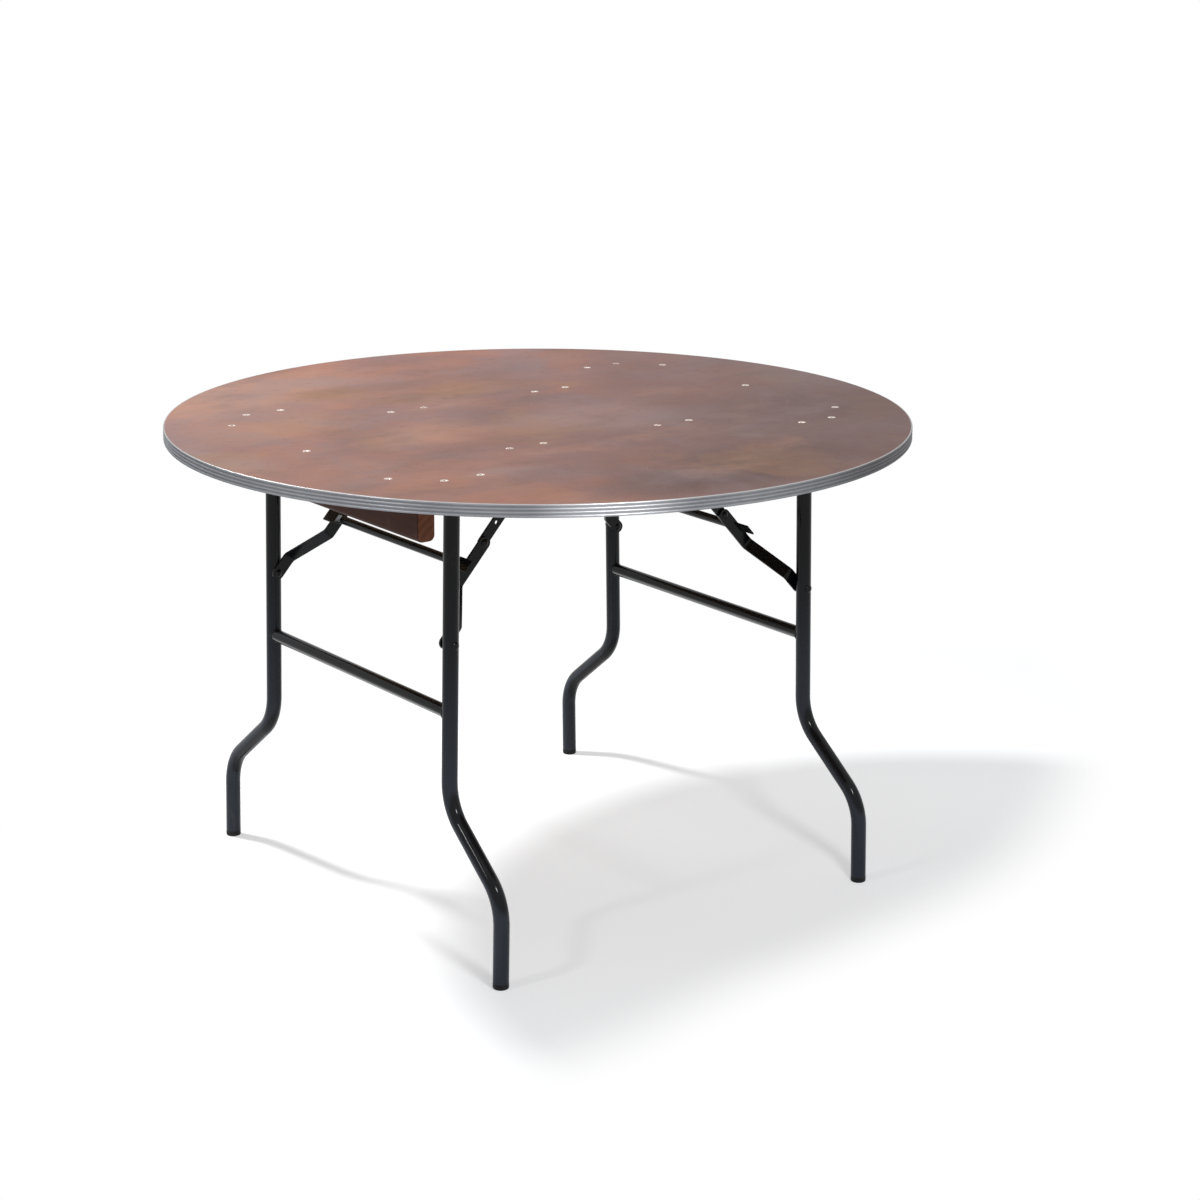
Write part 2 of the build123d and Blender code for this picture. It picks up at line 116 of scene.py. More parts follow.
class Value:
    """A number in a node tree. The operators add Math nodes and give new values."""

    def __init__(self, finish, socket):
        self.finish = finish
        self.socket = socket

    def math(self, operation, *others):
        places = dict(enumerate((self, *others)))
        return self.finish.node("Math", {"operation": operation}, places, 0)

    def __add__(self, other):
        return self.math("ADD", other)

    def __sub__(self, other):
        return self.math("SUBTRACT", other)

    def __rsub__(self, other):
        return (self * -1.0).math("ADD", other)

    def __mul__(self, other):
        return self.math("MULTIPLY", other)

    __radd__ = __add__
    __rmul__ = __mul__

    def __pow__(self, other):
        return self.math("POWER", other)

    def __abs__(self):
        return self.math("ABSOLUTE")

    def above(self, level):
        return self.math("GREATER_THAN", level)

    def below(self, level):
        return self.math("LESS_THAN", level)

    def larger(self, other):
        return self.math("MAXIMUM", other)

    def sine(self):
        return self.math("SINE")

    def root(self):
        return self.math("SQRT")

    def step(self, start, end):
        """Goes smoothly from 0 at start to 1 at end, also where start is the larger."""
        settings = {"interpolation_type": "SMOOTHSTEP"}
        low, high, first, last = (start, end, 0.0, 1.0) if start < end else (end, start, 1.0, 0.0)
        return self.finish.node("MapRange", settings, {0: self, 1: low, 2: high, 3: first, 4: last}, 0)


class Finish:
    """A material or world while its nodes are put together."""

    def __init__(self, owner):
        owner.use_nodes = True
        self.owner = owner
        self.tree = owner.node_tree
        self.tree.nodes.clear()
        self.coordinates = None

    def node(self, kind, settings, inputs, output=None):
        """Adds a node, its settings first, then the values or links of its sockets."""
        made = self.tree.nodes.new("ShaderNode" + kind)
        for name, setting in settings.items():
            if name == "stops":
                while len(made.color_ramp.elements) < len(setting):
                    made.color_ramp.elements.new(1.0)
                for element, (position, colour) in zip(made.color_ramp.elements, setting):
                    element.position = position
                    element.color = colour
            else:
                setattr(made, name, setting)
        for name, given in inputs.items():
            if isinstance(given, Value):
                self.tree.links.new(given.socket, made.inputs[name])
            else:
                made.inputs[name].default_value = given
        return made if output is None else Value(self, made.outputs[output])

    def place(self):
        """Object coordinates, which are the frame's own, because every object sits at its origin."""
        if self.coordinates is None:
            self.coordinates = self.node("TexCoord", {}, {}, "Object")
        return self.coordinates

    def facing(self):
        """The surface's direction in the piece's own frame, which turns with a folded leg."""
        return self.parts(self.node("TexCoord", {}, {}, "Normal"))

    def parts(self, vector):
        split = self.node("SeparateXYZ", {}, {0: vector})
        return [Value(self, split.outputs[i]) for i in range(3)]

    def vector(self, x, y, z):
        return self.node("CombineXYZ", {}, {0: x, 1: y, 2: z}, 0)

    def stretched(self, vector, factors):
        return self.node("VectorMath", {"operation": "MULTIPLY"}, {0: vector, 1: factors}, 0)

    def shifted(self, vector, offset):
        return self.node("VectorMath", {"operation": "ADD"}, {0: vector, 1: offset}, 0)

    def noise(self, vector, scale, detail=2.0, roughness=0.5, distortion=0.0):
        inputs = {"Vector": vector, "Scale": scale, "Detail": detail, "Roughness": roughness}
        inputs["Distortion"] = distortion
        return self.node("TexNoise", {"noise_dimensions": "3D"}, inputs, 0)

    def warped(self, vector, scale, amount):
        """The vector pushed about by a noise, so that a plain outline on it turns ragged."""
        push = self.node("TexNoise", {}, {"Vector": vector, "Scale": scale, "Detail": 4.0}, "Color")
        push = self.stretched(self.shifted(push, (-0.5, -0.5, -0.5)), (amount, amount, 0.0))
        return self.shifted(vector, push)

    def mix(self, amount, first, second):
        return self.node("Mix", {"data_type": "RGBA"}, {0: amount, 6: first, 7: second}, 2)

    def ramp(self, amount, stops):
        return self.node("ValToRGB", {"stops": stops}, {0: amount}, "Color")

    def bump(self, height, distance):
        inputs = {"Height": height, "Distance": distance, "Strength": 1.0}
        return self.node("Bump", {}, inputs, "Normal")

    def scratches(self, vector, angle, length, width, thin):
        """Long thin lines: the contour where a noise drawn out along the angle passes its middle. A second
        noise leaves them only in patches."""
        settings = {"rotation_type": "Z_AXIS"}
        turned = self.node("VectorRotate", settings, {"Vector": vector, "Angle": angle}, 0)
        drawn = self.stretched(turned, (1 / length, 1 / width, 1 / length))
        line = abs(self.noise(drawn, 1.0, 1.0) - 0.5).step(thin, 0.0)
        return line * self.noise(self.shifted(vector, (3.0, 1.0, 7.0)), 9.0).step(0.52, 0.62)

    def surface(self, colour, roughness, metallic, normal, **others):
        """Ends the material with a Principled surface. Of the other sockets only Coat Weight may vary."""
        inputs = {"Base Color": colour, "Roughness": roughness, "Metallic": metallic, "Normal": normal}
        inputs.update({name.replace("_", " "): given for name, given in others.items()})
        shader = self.node("BsdfPrincipled", {}, inputs, 0)
        self.node("OutputMaterial", {}, {"Surface": shader})
        return self.owner


def finish(name):
    return Finish(bpy.data.materials.new(name))


def tone(red, green, blue):
    """The linear colour of a tone given as 8-bit sRGB."""
    share = np.array([red, green, blue]) / 255
    linear = np.where(share <= 0.04045, share / 12.92, ((share + 0.055) / 1.055) ** 2.4)
    return (*map(float, linear), 1.0)


# Finishes

# Stains on the top: middle across and up, half width and height, strength, colour. They are partly painted light
# and shade: the large pale ones on the left make the top lighter where the key light falls strongly, and the large
# dark and grey ones on the right make it darker where that light falls off.
STAINS_AND_PAINTED_LIGHT = (
    (0.400, -0.360, 0.620, 0.640, 0.85, tone(88, 61, 58)),
    (-0.350, 0.450, 0.300, 0.220, 0.50, tone(170, 128, 104)),
    (-0.390, 0.170, 0.160, 0.100, 0.50, tone(162, 114, 80)),
    (-0.180, 0.360, 0.110, 0.065, 0.70, tone(112, 76, 52)),
    (-0.050, 0.262, 0.120, 0.050, 0.70, tone(114, 78, 52)),
    (0.080, 0.130, 0.095, 0.045, 0.65, tone(96, 68, 60)),
    (-0.145, 0.020, 0.060, 0.040, 0.45, tone(104, 76, 70)),
    (0.045, -0.060, 0.190, 0.120, 0.38, tone(156, 127, 121)),
    (0.300, 0.490, 0.090, 0.055, 0.35, tone(160, 112, 104)),
    (0.580, 0.040, 0.090, 0.190, 0.42, tone(100, 94, 98)),
    (-0.590, 0.040, 0.080, 0.150, 0.32, tone(134, 125, 124)),
    (-0.270, -0.300, 0.060, 0.020, 0.30, tone(158, 126, 112)),
    (-0.290, -0.355, 0.030, 0.020, 0.40, tone(98, 72, 62)),
    (0.020, -0.490, 0.280, 0.140, 0.92, tone(66, 34, 27)),
    (0.480, -0.230, 0.180, 0.120, 0.60, tone(74, 46, 44)),
    (0.500, 0.250, 0.200, 0.220, 0.40, tone(98, 78, 80)),
    (-0.240, 0.000, 0.130, 0.080, 0.45, tone(170, 126, 102)),
    (0.000, 0.240, 0.150, 0.090, 0.35, tone(112, 76, 64)),
)


def stained_plywood():
    """Brown stained top face, lighter on the left and darker on the right partly as painted light and shade, plain
    sealed veneer with patches under it, and plies at the edge.
    """
    f = finish("stained_plywood")
    place = f.place()
    x, y, z = f.parts(place)
    cloud = f.noise(place, 3.4, 4.0, 0.55, 0.7)
    drift = f.noise(f.shifted(place, (5.0, 2.0, 0.0)), 7.5, 5.0, 0.6, 0.5)
    fleck = f.noise(place, 60.0, 3.0)
    stain = f.ramp(cloud * 0.55 + drift * 0.45, [
        (0.34, tone(113, 79, 75)), (0.47, tone(128, 87, 78)),
        (0.54, tone(136, 91, 77)), (0.66, tone(149, 99, 77))])

    # The placed stains, with their painted light and shade, with ragged outlines
    spread = f.warped(place, 5.0, 0.16)
    for across, up, wide, high, strength, colour in STAINS_AND_PAINTED_LIGHT:
        here = f.stretched(f.shifted(spread, (-across, -up, 0.0)), (1 / wide, 1 / high, 0.0))
        reach = f.node("VectorMath", {"operation": "LENGTH"}, {0: here}, "Value")
        stain = f.mix(reach.step(1.25, 0.25) * strength, stain, colour)

    # Dark and pale smears, and cool and warm clouds. The pale and warm ones are weaker on the right: painted
    # shade, as the key light falls off across the top.
    smear_place = f.stretched(f.shifted(place, (1.0, 7.0, 0.0)), (5.0, 8.5, 1.0))
    smear = f.noise(smear_place, 1.0, 6.0, 0.60, 0.25)
    painted_falloff = 1.0 - x.step(-0.1, 0.45) * 0.6
    stain = f.mix(smear.step(0.48, 0.70) * 0.50, stain, tone(98, 68, 58))
    stain = f.mix(smear.step(0.50, 0.28) * painted_falloff * 0.40, stain, tone(162, 118, 98))
    cool = f.noise(f.shifted(place, (8.0, 3.0, 0.0)), 4.2, 5.0, 0.6, 0.3)
    stain = f.mix(cool.step(0.50, 0.66) * 0.42, stain, tone(118, 97, 97))
    stain = f.mix(cool.step(0.48, 0.34) * painted_falloff * 0.36, stain, tone(142, 100, 62))

    # Flecks, pores along the grain and fine pale scratches
    stain = f.mix(fleck.step(0.58, 0.72) * 0.16, stain, tone(118, 88, 77))
    pores = f.noise(f.stretched(place, (26.0, 900.0, 1.0)), 1.0, 2.0).step(0.62, 0.72)
    stain = f.mix(pores * 0.25, stain, tone(112, 86, 76))
    marks = f.scratches(place, 0.6, 0.5, 0.012, 0.012)
    marks = marks.larger(f.scratches(f.shifted(place, (2.0, 4.0, 0.0)), -0.9, 0.4, 0.010, 0.008))
    stain = f.mix(marks * 0.13, stain, tone(205, 184, 176))

    # The underside's veneer has a wavy figure along X, and the edge a pair of plies every 3.6 mm
    wander = f.noise(f.stretched(place, (1.3, 4.5, 1.0)), 1.0, 2.0, 0.5, 0.2)
    figure = ((y * 95.0 + wander * 62.0).sine() * 0.5 + 0.5) ** 2.0
    veneer = f.mix(figure, tone(196, 164, 128), tone(170, 132, 94))
    veneer = f.mix(pores * 0.5, veneer, tone(120, 88, 62))
    veneer = f.mix(cloud.step(0.45, 0.7) * 0.4, veneer, tone(156, 120, 88))
    plies = (z * 1745.0).sine().step(-0.2, 0.2)
    side = f.mix(plies, tone(150, 112, 80), tone(188, 154, 116))
    under = f.mix(z.below(BOARD_UNDER + 0.0005), side, veneer)
    colour = f.mix(z.above(BOARD_TOP - 0.0005), under, stain)
    rough = 0.42 + drift * 0.16 + marks * 0.12 + fleck.step(0.55, 0.7) * 0.05
    height = f.noise(place, 260.0, 2.0) * 0.30 + pores * -0.35 + marks * -0.5
    return f.surface(colour, rough, 0.0, f.bump(height, 0.00012), Specular_IOR_Level=0.25)


def reeded_aluminium():
    """Dull extruded strip: streaks along the rim, painted shade in its grooves, a painted dark reflection on its
    left and right, a painted highlight in front and along its top edge, and the butt joint of its two ends.
    round_it is the angle round the rim in radians, from the point that faces the camera."""
    f = finish("reeded_aluminium")
    place = f.place()
    x, y, z = f.parts(place)
    front = x * -0.6 + y * -0.8
    side = x * 0.8 + y * -0.6
    round_it = side.math("ARCTAN2", front)
    streaks = f.noise(f.vector(round_it * 6.0, z * 2600.0, 0.0), 1.0, 3.0, 0.6)
    blotch = f.noise(place, 9.0, 4.0, 0.6)
    fine = f.noise(place, 130.0, 2.0)
    reach = (x * x + y * y).root()
    groove = reach.step(RIM_RADIUS - 0.0002, RIM_RADIUS - 0.0010) * reach.above(RIM_RADIUS - 0.0021)
    groove = groove * z.below(BOARD_TOP - 0.002)
    colour = f.ramp(streaks * 0.5 + blotch * 0.5, [
        (0.35, tone(128, 130, 134)), (0.5, tone(146, 148, 153)), (0.65, tone(160, 162, 166))])
    # Painted shade: the grooves darker.
    colour = f.mix(groove * 0.35, colour, tone(92, 91, 94))
    colour = f.mix(fine.step(0.60, 0.75) * 0.3, colour, tone(110, 109, 110))
    # Painted dark reflection: the strip darker and less metallic on its right and, more weakly, on its left,
    # standing in for dark surroundings mirrored there.
    painted_dark_reflection = round_it.step(0.55, 1.10) * round_it.step(2.6, 1.6) * 0.70
    painted_dark_reflection = painted_dark_reflection + round_it.step(-0.4, -1.5) * round_it.step(-2.9, -2.4) * 0.25
    colour = f.mix(painted_dark_reflection, colour, tone(70, 68, 70))
    # Painted highlight: a lighter stretch in front, where a lamp's highlight falls on the strip.
    bright = round_it.step(-0.04, 0.14) * round_it.step(0.42, 0.24) * 0.42
    colour = f.mix(bright, colour, tone(226, 228, 232))
    # Painted highlight along the strip's top edge.
    colour = f.mix(z.above(BOARD_TOP - 0.0007) * 0.8, colour, tone(206, 202, 201))
    joint = abs(round_it + 2.2).step(0.0011, 0.0006)
    colour = f.mix(joint * 0.9, colour, tone(30, 29, 30))
    rough = 0.27 + streaks * 0.12 + groove * 0.20 + joint * 0.3
    normal = f.bump(streaks - joint * 8.0, 0.00001)
    return f.surface(colour, rough, 0.9 - painted_dark_reflection * 0.6, normal, Specular_Tint=tone(176, 176, 178))


def brown_softwood():
    """Dark stained softwood. Its rings are sine waves of the distance from the tree's heart, which lies
    7 cm below the runners, so that they show as grain along the wood and as arcs on its ends. The ends are
    lighter partly as end grain and partly as painted light."""
    f = finish("brown_softwood")
    place = f.place()
    x, _, z = f.parts(place)
    wander = f.noise(f.stretched(place, (9.0, 1.6, 9.0)), 1.0, 3.0, 0.5)
    heart = 0.62
    rise = z - heart
    depth = (x * x * 0.15 + rise * rise).root()
    rings = ((depth * 820.0 + wander * 16.0).sine() * 0.5 + 0.5) ** 1.6
    fibre = f.noise(f.stretched(place, (700.0, 14.0, 700.0)), 1.0, 2.0)
    sawn = abs(f.facing()[1]).step(0.6, 0.9)
    colour = f.mix(rings * 0.5, tone(74, 44, 35), tone(62, 37, 29))
    colour = f.mix(fibre.step(0.5, 0.75) * 0.25, colour, tone(50, 31, 28))
    # The sawn ends are lighter, partly as end grain and partly as painted light from the lamp in front.
    ends = f.mix(rings * 0.6, tone(140, 94, 74), tone(112, 72, 56))
    colour = f.mix(sawn, colour, ends)
    rub = f.noise(place, 22.0, 4.0, 0.6).step(0.58, 0.74)
    colour = f.mix(rub * 0.14, colour, tone(108, 76, 66))
    rough = 0.55 - rub * 0.08 + sawn * 0.2
    height = rings * 0.35 + fibre * 0.5 + sawn * f.noise(place, 900.0, 2.0) * 0.5
    return f.surface(colour, rough, 0.0, f.bump(height, 0.00025), Specular_IOR_Level=0.12)


def black_enamel():
    """Glossy black paint with orange peel, scuffs, dust on what faces up, and chips to bare steel. It is
    greyer and bluer low on the upright sides of the legs, a painted reflection of the bright floor, and
    glossier on the undersides of the cross bars."""
    f = finish("black_enamel")
    place = f.place()
    _, y, z = f.parts(place)
    up = f.facing()[2]
    leg_face = LEG_ROW - TUBE_RADIUS - 0.0001
    cloud = f.noise(place, 16.0, 4.0, 0.6)
    chips = f.noise(place, 75.0, 4.0, 0.7).step(0.74, 0.77)
    scuffs = f.scratches(place, 0.4, 0.05, 0.004, 0.03) * (z.step(0.16, 0.0) * 0.7 + 0.3)
    settled = up.step(0.1, 0.9) * f.noise(place, 24.0, 3.0, 0.6).step(0.30, 0.70)
    leg_side = abs(up).step(0.35, 0.15) * abs(y).above(leg_face)
    under_bar = up.step(0.05, -0.35) * abs(y).below(leg_face) * z.below(CROSS_BAR_HEIGHT + 2 * TUBE_RADIUS)
    colour = f.mix(cloud, tone(13, 14, 17), tone(23, 25, 30))
    # Painted reflection: the legs' upright sides greyer and bluer low down, standing in for the bright floor
    # mirrored in them.
    colour = f.mix(z.step(0.56, 0.20) * leg_side * 0.9, colour, tone(53, 59, 71))
    colour = f.mix(settled * 0.04, colour, tone(120, 118, 118))
    colour = f.mix(scuffs * 0.25, colour, tone(90, 90, 92))
    colour = f.mix(chips, colour, tone(128, 122, 116))
    rough = 0.07 + cloud * 0.05 + settled * 0.05 + scuffs * 0.12
    height = f.noise(place, 150.0, 2.0) * 0.6 - chips * 0.5 - scuffs * 0.2
    normal = f.bump(height, 0.00002)
    return f.surface(colour, rough, chips * 0.8, normal, Specular_IOR_Level=0.16, Coat_Weight=under_bar)


def dull_zinc():
    """Zinc plate: bright and dull patches, smudges, a few rusty specks, and painted shade in the cross recesses of
    the flush heads.
    """
    f = finish("dull_zinc")
    place = f.place()
    z = f.parts(place)[2]
    patch = f.noise(place, 320.0, 3.0, 0.6)
    fine = f.noise(place, 2600.0, 2.0)
    rust = f.noise(f.shifted(place, (4.0, 1.0, 2.0)), 180.0, 4.0, 0.65).step(0.66, 0.74)
    smudge = f.noise(f.shifted(place, (9.0, 3.0, 0.0)), 9.0, 1.0).step(0.50, 0.62)
    # Painted shade: darker from 0.3 to 1.5 mm below the top, in the cross recesses.
    recess_shade = z.below(BOARD_TOP - 0.0003) * z.above(BOARD_TOP - 0.0015)
    colour = f.mix(patch.step(0.35, 0.65), tone(222, 207, 198), tone(200, 187, 179))
    colour = f.mix(rust * 0.6, colour, tone(132, 92, 66))
    colour = f.mix(smudge * 0.55, colour, tone(158, 124, 112))
    colour = f.mix(recess_shade * 0.8, colour, tone(70, 54, 48))
    rough = 0.30 + patch * 0.2 + rust * 0.3
    return f.surface(colour, rough, 0.85 - rust * 0.6, f.bump(fine * 0.5 + patch * 0.3, 0.00005))


def black_moulding():
    """Matt black plastic with a fine grain, slightly greyed in patches."""
    f = finish("black_moulding")
    place = f.place()
    grime = f.noise(place, 90.0, 4.0, 0.6)
    fine = f.noise(place, 1500.0, 2.0)
    colour = f.mix(grime.step(0.45, 0.75), tone(22, 22, 24), tone(44, 43, 44))
    return f.surface(colour, 0.45 + grime * 0.15, 0.0, f.bump(fine, 0.00005), Specular_IOR_Level=0.2)


# Surfaces

def turns(count):
    """Angles once round, without the last, which is the first again."""
    return np.arange(count) * 2 * math.pi / count


def make_piece(name, grids, body, slot, material, *replaced):
    """One mesh from grids of points. A grid closes along its second axis, and along its first where it is
    given as round; otherwise its first and last rows are single points, which merge into poles."""
    points, faces, start = [], [], 0
    for grid, is_round in grids:
        index = start + np.arange(grid.shape[0] * grid.shape[1]).reshape(grid.shape[:2])
        if is_round:
            index = np.vstack([index, index[:1]])
        index = np.hstack([index, index[:, :1]])
        corners = (index[:-1, :-1], index[1:, :-1], index[1:, 1:], index[:-1, 1:])
        faces.append(np.stack(corners, -1).reshape(-1, 4))
        points.append(grid.reshape(-1, 3))
        start += len(points[-1])
    mesh = bpy.data.meshes.new(name)
    mesh.from_pydata(np.concatenate(points).tolist(), [], np.concatenate(faces).tolist())
    work = bmesh.new()
    work.from_mesh(mesh)
    bmesh.ops.remove_doubles(work, verts=work.verts, dist=1e-7)
    bmesh.ops.recalc_face_normals(work, faces=work.faces)
    work.to_mesh(mesh)
    work.free()
    mesh.shade_smooth()
    mesh.set_sharp_from_angle(angle=math.radians(38))
    hold(mesh, body, slot, material, *replaced)


def hold(mesh, body, slot, material, *replaced):
    """Puts a finished mesh on its body, with its material, in the place of the named nodes. The slot is not used.
    """
    piece = bpy.data.objects.new(mesh.name, mesh)
    bpy.context.scene.collection.objects.link(piece)
    mesh.materials.append(material)
    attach(piece, body)
    if replaced:
        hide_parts(*replaced)
    return piece


def rippled_bead(path, outward, radius, is_round):
    """A weld bead: a circle carried along a path, whose radius swells once every 2 mm or so, by a sixth of
    itself. The circle stands on the outward direction and on its cross product with the path. An open
    bead runs out at both ends, where the radius falls as the root of one less the eighth power of the
    place, which goes from -1 to 1."""
    ahead, behind = np.roll(path, -1, 0), np.roll(path, 1, 0)
    if not is_round:
        ahead[-1], behind[0] = path[-1], path[0]
    along = ahead - behind
    along /= np.linalg.norm(along, axis=1, keepdims=True)
    outward = outward / np.linalg.norm(outward, axis=1, keepdims=True)
    across = np.cross(along, outward)
    count = len(path)
    length = np.linalg.norm(ahead - path, axis=1).sum()
    ripple_step = 0.0021
    ripples = max(3, round(length / ripple_step))
    place = np.arange(count) / (count if is_round else count - 1)
    ripple = 0.17 * np.abs(np.sin(math.pi * ripples * place)) - 0.05 * np.cos(9.0 * math.pi * place)
    swell = radius * (1 + ripple)
    if not is_round:
        swell = swell * np.sqrt(np.clip(1 - np.abs(2 * place - 1) ** 8, 0, 1))
    angle = turns(10)[None, :, None]
    ring = np.cos(angle) * outward[:, None] + np.sin(angle) * across[:, None]
    return path[:, None] + swell[:, None, None] * ring, is_round


def leaned(points, side, row):
    """Points of an upright +X far leg, leaned out about the hinge by the legs' lean and mirrored to a
    corner of the table."""
    x, y, z = points[..., 0] - PIVOT_X, points[..., 1], points[..., 2] - PIVOT_HEIGHT[side]
    out = PIVOT_X + x * math.cos(LEG_LEAN) - z * math.sin(LEG_LEAN)
    high = PIVOT_HEIGHT[side] + z * math.cos(LEG_LEAN) + x * math.sin(LEG_LEAN)
    return np.stack([out * MIRRORS[side], y * MIRRORS[row], high], -1)


def frame_welds(side, material):
    """The beads where the legs meet the hinge tube and the cross bar. Each path is the curve in which two
    cylinders meet: a circle on one, set back to the other's surface by Pythagoras. Outward is the sum of
    the two surfaces' own directions."""
    angle = turns(150)
    across = TUBE_RADIUS * np.sin(angle)
    along = TUBE_RADIUS * np.cos(angle)
    depth = np.sqrt(TUBE_RADIUS ** 2 - across ** 2)
    hinge = np.stack([PIVOT_X + across, LEG_ROW + along, PIVOT_HEIGHT[side] - depth], 1)
    hinge_out = np.stack([2 * across, along, -depth], 1)
    across = CROSS_BAR_RADIUS * np.sin(angle)
    rise = CROSS_BAR_RADIUS * np.cos(angle)
    depth = np.sqrt(TUBE_RADIUS ** 2 - across ** 2)
    bar = np.stack([PIVOT_X + across, LEG_ROW - depth, CROSS_BAR_HEIGHT + rise], 1)
    bar_out = np.stack([2 * across, -depth, rise], 1)
    grids = []
    for row in ROWS:
        for path, outward in ((hinge, hinge_out), (bar, bar_out)):
            grid, is_round = rippled_bead(path, outward, FRAME_BEAD, True)
            grids.append((leaned(grid, side, row), is_round))
    make_piece(side + "_frame_welds", grids, side + "_frame", "black_steel", material)


def along_brace(stations, offset, layer, side, row):
    """Points given along the open brace from its lower rivet, square to it, and along the hinge line."""
    rivet = np.array([PIVOT_X + LEG_ARM * math.sin(LEG_LEAN), -LEG_ARM * math.cos(LEG_LEAN)])
    ahead = np.array([ANCHOR_X - rivet[0], -rivet[1]])
    ahead /= np.linalg.norm(ahead)
    x = rivet[0] + stations * ahead[0] + offset * ahead[1]
    z = PIVOT_HEIGHT[side] + rivet[1] + stations * ahead[1] - offset * ahead[0]
    return np.stack([x * MIRRORS[side], np.full(len(stations), layer * MIRRORS[row]), z], -1)


def brace_welds(side, material):
    """Short straight beads in the corners between the release bar's flat ends and the lower links. Outward
    is the direction half way between the link's edge and its face."""
    stations = np.linspace(BAR_STATION - BAR_END_HALF, BAR_STATION + BAR_END_HALF, 49)
    faces = ((LINK_INSIDE, -1.0), (LINK_INSIDE + LINK_THICKNESS, 1.0))
    grids = []
    for row in ROWS:
        for layer, outside in faces:
            path = along_brace(stations, LINK_HALF_WIDTH, layer, side, row)
            aim = along_brace(stations, LINK_HALF_WIDTH - 0.001, layer + outside * 0.001, side, row)
            grids.append(rippled_bead(path, aim - path, BRACE_BEAD, False))
    make_piece(side + "_brace_welds", grids, side + "_lower_brace", "black_steel", material)


def fastener_places(spread, row):
    """The two bolts of each strap: sides by rows by the two ends of the strap."""
    return [(MIRRORS[side] * (spread + end * BOLT_HALF_SPACING), MIRRORS[line] * row, side)
            for side in SIDES for line in ROWS for end in (-1, 1)]


def recessed_head(radius, angle):
    """Depth of a cross recess: two arms 1.5 mm wide and 6 mm long, each the product of smooth steps across
    and along it, the deeper one counting, with a dip of 0.7 mm and a floor that falls to 1.1 mm."""
    across, along = radius * np.cos(angle), radius * np.sin(angle)
    half_wide, half_long = 0.00075, 0.0030

    def inside(distance, half, soft):
        share = np.clip((half - np.abs(distance)) / soft + 0.5, 0, 1)
        return share * share * (3 - 2 * share)

    first = inside(across, half_wide, 0.0003) * inside(along, half_long, 0.0006)
    second = inside(along, half_wide, 0.0003) * inside(across, half_long, 0.0006)
    return np.maximum(first, second) * (0.0007 + 0.0004 * np.clip(1 - radius / half_long, 0, 1))


def turned_fastener(spot, turn, shank, end, thread):
    """A bolt or screw: a profile of radii and heights turned about a vertical line. The head's top dips by
    the cross recess. Where it is threaded, the radius falls with the distance, once round in a pitch,
    from the crest, so that the ridge climbs as a helix."""
    face = np.array([0.0, 0.5, 1.0, 1.5, 2.0, 2.5, 2.8, 3.1, 3.4, 4.0, 6.0, 6.3]) / 1000
    radius = np.concatenate([face, [HEAD_RADIUS, HEAD_RADIUS, shank, shank]])
    drop = np.concatenate([0 * face, [0.0002, HEAD_HEIGHT, HEAD_HEIGHT, HEAD_HEIGHT + 0.0010]])
    height = BOARD_TOP - drop
    if thread:
        first, turned = len(height), 70
        run = np.linspace(end + THREAD_LENGTH, end + THREAD_DEPTH, turned)
        radius = np.concatenate([radius, np.full(turned, shank), [shank * 0.8, 0.0]])
        height = np.concatenate([height, run, [end, end]])
    else:
        radius = np.concatenate([radius, [shank, 0.0]])
        height = np.concatenate([height, [end + 0.005, end]])
    angle = turns(48)
    radii = radius[:, None] + 0 * angle
    heights = height[:, None] + 0 * angle
    heights[:len(face)] -= recessed_head(radii[:len(face)], angle)
    if thread:
        phase = (heights[first:-2] / THREAD_PITCH - angle / (2 * math.pi)) % 1.0
        radii[first:-2] -= THREAD_DEPTH * np.abs(2 * phase - 1)
    x = spot[0] + radii * np.cos(angle + turn)
    y = spot[1] + radii * np.sin(angle + turn)
    return np.stack([x, y, heights], -1), False


def bolts(name, places, material):
    """Flat-headed bolts that end 2 mm below their nuts, each turned by the golden angle from the last."""
    golden_angle = 2.4
    grids = [turned_fastener((x, y), golden_angle * i, BOLT_RADIUS, SEAT_HEIGHT[side] - BOLT_REACH, True)
             for i, (x, y, side) in enumerate(places)]
    make_piece(name + "_threaded", grids, "root", "zinc_steel", material, name)


def runner_screws(material):
    """Three flat-headed screws down through the board into each runner, each turned on from the last."""
    turn = 1.7
    spots = [(MIRRORS[side] * RUNNER_X, step * SCREW_STEP) for side in SIDES for step in (-1, 0, 1)]
    grids = [turned_fastener(spot, turn * i, SCREW_RADIUS, SCREW_END, False)
             for i, spot in enumerate(spots)]
    make_piece("runner_screws_turned", grids, "root", "zinc_steel", material, "runner_screws")


def chamfered_nuts(name, places, material):
    """Hexagon nuts: the radius of a ring is that of a hexagon, half the width over its flats divided by the
    cosine of the angle from the nearest flat's middle, and both faces fall away at 30 degrees outside a
    circle a little smaller than the flats."""
    angle = turns(72)
    rim = NUT_HALF_WIDTH - 0.0002
    hexagon = NUT_HALF_WIDTH / np.cos((angle % (math.pi / 3)) - math.pi / 6)
    fall = np.clip(hexagon - rim, 0, None) * math.tan(math.pi / 6)
    bore, circle, level = (np.full(len(angle), value) for value in (NUT_BORE, rim, 0.0))
    radii = np.stack([bore, circle, hexagon, hexagon, circle, bore])
    depths = np.stack([level, level, fall, NUT_HEIGHT - fall, level + NUT_HEIGHT, level + NUT_HEIGHT])
    grids = []
    for x, y, side in places:
        heights = SEAT_HEIGHT[side] - NUT_DEPTH - depths
        points = [x + radii * np.cos(angle), y + radii * np.sin(angle), heights]
        grids.append((np.stack(points, -1), True))
    make_piece(name + "_chamfered", grids, "root", "zinc_steel", material, name)


